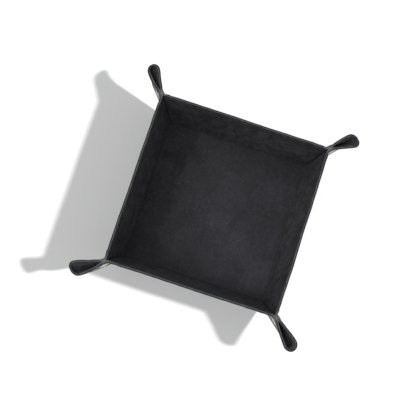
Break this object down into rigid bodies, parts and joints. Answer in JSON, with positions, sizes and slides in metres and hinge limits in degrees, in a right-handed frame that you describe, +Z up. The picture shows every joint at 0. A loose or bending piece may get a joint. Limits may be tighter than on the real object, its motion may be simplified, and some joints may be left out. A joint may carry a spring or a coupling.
{
  "type": "folding dice tray",
  "caption": "Square snap-corner leather dice tray: a lined leather sheet whose pinched, snapped corners hold flared sides up, and which opens out flat.",
  "frame": {"origin": "middle of the floor's underside, on the table", "axes": "+Z up, X and Y along the sides of the floor; +Y to the back wall and +X to the right wall"},
  "size_m": [0.2322, 0.2322, 0.0556],
  "materials": {
    "outer_leather": "black full-grain leather, smooth with a fine grain and a semi-gloss finish, burnished and painted along the cut edge",
    "lining": "black napped suede-like lining, matt, brushed in soft lighter and darker patches",
    "thread": "black waxed polyester thread",
    "snap_metal": "dark antique nickel, satin"
  },
  "bodies": {
    "floor": {"leather_floor": "outer_leather", "lining_floor": "lining"},
    "back_wall": {"leather_wall_back": "outer_leather", "lining_wall_back": "lining", "stitching_wall_back": "thread"},
    "back_right_flap": {"leather_flap_back_right": "outer_leather", "lining_flap_back_right": "lining", "stitching_flap_back_right": "thread", "snap_cap_back_right": "snap_metal", "snap_socket_back_right": "snap_metal"},
    "back_left_flap": {"leather_flap_back_left": "outer_leather", "lining_flap_back_left": "lining", "stitching_flap_back_left": "thread", "snap_back_plate_left_back": "snap_metal", "snap_stud_left_back": "snap_metal"},
    "right_wall": {"leather_wall_right": "outer_leather", "lining_wall_right": "lining", "stitching_wall_right": "thread"},
    "right_front_flap": {"leather_flap_right_front": "outer_leather", "lining_flap_right_front": "lining", "stitching_flap_right_front": "thread", "snap_cap_right_front": "snap_metal", "snap_socket_right_front": "snap_metal"},
    "right_back_flap": {"leather_flap_right_back": "outer_leather", "lining_flap_right_back": "lining", "stitching_flap_right_back": "thread", "snap_back_plate_back_right": "snap_metal", "snap_stud_back_right": "snap_metal"},
    "front_wall": {"leather_wall_front": "outer_leather", "lining_wall_front": "lining", "stitching_wall_front": "thread"},
    "front_left_flap": {"leather_flap_front_left": "outer_leather", "lining_flap_front_left": "lining", "stitching_flap_front_left": "thread", "snap_cap_front_left": "snap_metal", "snap_socket_front_left": "snap_metal"},
    "front_right_flap": {"leather_flap_front_right": "outer_leather", "lining_flap_front_right": "lining", "stitching_flap_front_right": "thread", "snap_back_plate_right_front": "snap_metal", "snap_stud_right_front": "snap_metal"},
    "left_wall": {"leather_wall_left": "outer_leather", "lining_wall_left": "lining", "stitching_wall_left": "thread"},
    "left_back_flap": {"leather_flap_left_back": "outer_leather", "lining_flap_left_back": "lining", "stitching_flap_left_back": "thread", "snap_cap_left_back": "snap_metal", "snap_socket_left_back": "snap_metal"},
    "left_front_flap": {"leather_flap_left_front": "outer_leather", "lining_flap_left_front": "lining", "stitching_flap_left_front": "thread", "snap_back_plate_front_left": "snap_metal", "snap_stud_front_left": "snap_metal"}
  },
  "joints": [
    {"name": "back_wall_fold", "type": "hinge", "parent": "floor", "child": "back_wall", "pos_m": [0, 0.075, 0.0022], "axis": [-1, 0, 0], "range_deg": [0, 76.33]},
    {"name": "right_wall_fold", "type": "hinge", "parent": "floor", "child": "right_wall", "pos_m": [0.075, 0, 0.0022], "axis": [0, 1, 0], "range_deg": [0, 76.33]},
    {"name": "front_wall_fold", "type": "hinge", "parent": "floor", "child": "front_wall", "pos_m": [0, -0.075, 0.0022], "axis": [1, 0, 0], "range_deg": [0, 76.33]},
    {"name": "left_wall_fold", "type": "hinge", "parent": "floor", "child": "left_wall", "pos_m": [-0.075, 0, 0.0022], "axis": [0, -1, 0], "range_deg": [0, 76.33]},
    {"name": "back_right_flap_fold", "type": "hinge", "parent": "back_wall", "child": "back_right_flap", "pos_m": [0.07332, 0.07714, 0.00168], "axis": [-0.23, -0.23, -0.9456], "range_deg": [0, 50]},
    {"name": "back_left_flap_fold", "type": "hinge", "parent": "back_wall", "child": "back_left_flap", "pos_m": [-0.07332, 0.07714, 0.00168], "axis": [-0.23, 0.23, 0.9456], "range_deg": [0, 50]},
    {"name": "right_front_flap_fold", "type": "hinge", "parent": "right_wall", "child": "right_front_flap", "pos_m": [0.07714, -0.07332, 0.00168], "axis": [-0.23, 0.23, -0.9456], "range_deg": [0, 50]},
    {"name": "right_back_flap_fold", "type": "hinge", "parent": "right_wall", "child": "right_back_flap", "pos_m": [0.07714, 0.07332, 0.00168], "axis": [0.23, 0.23, 0.9456], "range_deg": [0, 50]},
    {"name": "front_left_flap_fold", "type": "hinge", "parent": "front_wall", "child": "front_left_flap", "pos_m": [-0.07332, -0.07714, 0.00168], "axis": [0.23, 0.23, -0.9456], "range_deg": [0, 50]},
    {"name": "front_right_flap_fold", "type": "hinge", "parent": "front_wall", "child": "front_right_flap", "pos_m": [0.07332, -0.07714, 0.00168], "axis": [0.23, -0.23, 0.9456], "range_deg": [0, 50]},
    {"name": "left_back_flap_fold", "type": "hinge", "parent": "left_wall", "child": "left_back_flap", "pos_m": [-0.07714, 0.07332, 0.00168], "axis": [0.23, -0.23, -0.9456], "range_deg": [0, 50]},
    {"name": "left_front_flap_fold", "type": "hinge", "parent": "left_wall", "child": "left_front_flap", "pos_m": [-0.07714, -0.07332, 0.00168], "axis": [-0.23, -0.23, 0.9456], "range_deg": [0, 50]}
  ],
  "couplings": [
    {"joint": "right_wall_fold", "follows": "back_wall_fold", "ratio": 1},
    {"joint": "front_wall_fold", "follows": "back_wall_fold", "ratio": 1},
    {"joint": "left_wall_fold", "follows": "back_wall_fold", "ratio": 1},
    {"joint": "back_right_flap_fold", "follows": "back_wall_fold", "ratio": 0.65},
    {"joint": "back_left_flap_fold", "follows": "back_wall_fold", "ratio": 0.65},
    {"joint": "right_front_flap_fold", "follows": "back_wall_fold", "ratio": 0.65},
    {"joint": "right_back_flap_fold", "follows": "back_wall_fold", "ratio": 0.65},
    {"joint": "front_left_flap_fold", "follows": "back_wall_fold", "ratio": 0.65},
    {"joint": "front_right_flap_fold", "follows": "back_wall_fold", "ratio": 0.65},
    {"joint": "left_back_flap_fold", "follows": "back_wall_fold", "ratio": 0.65},
    {"joint": "left_front_flap_fold", "follows": "back_wall_fold", "ratio": 0.65}
  ]
}
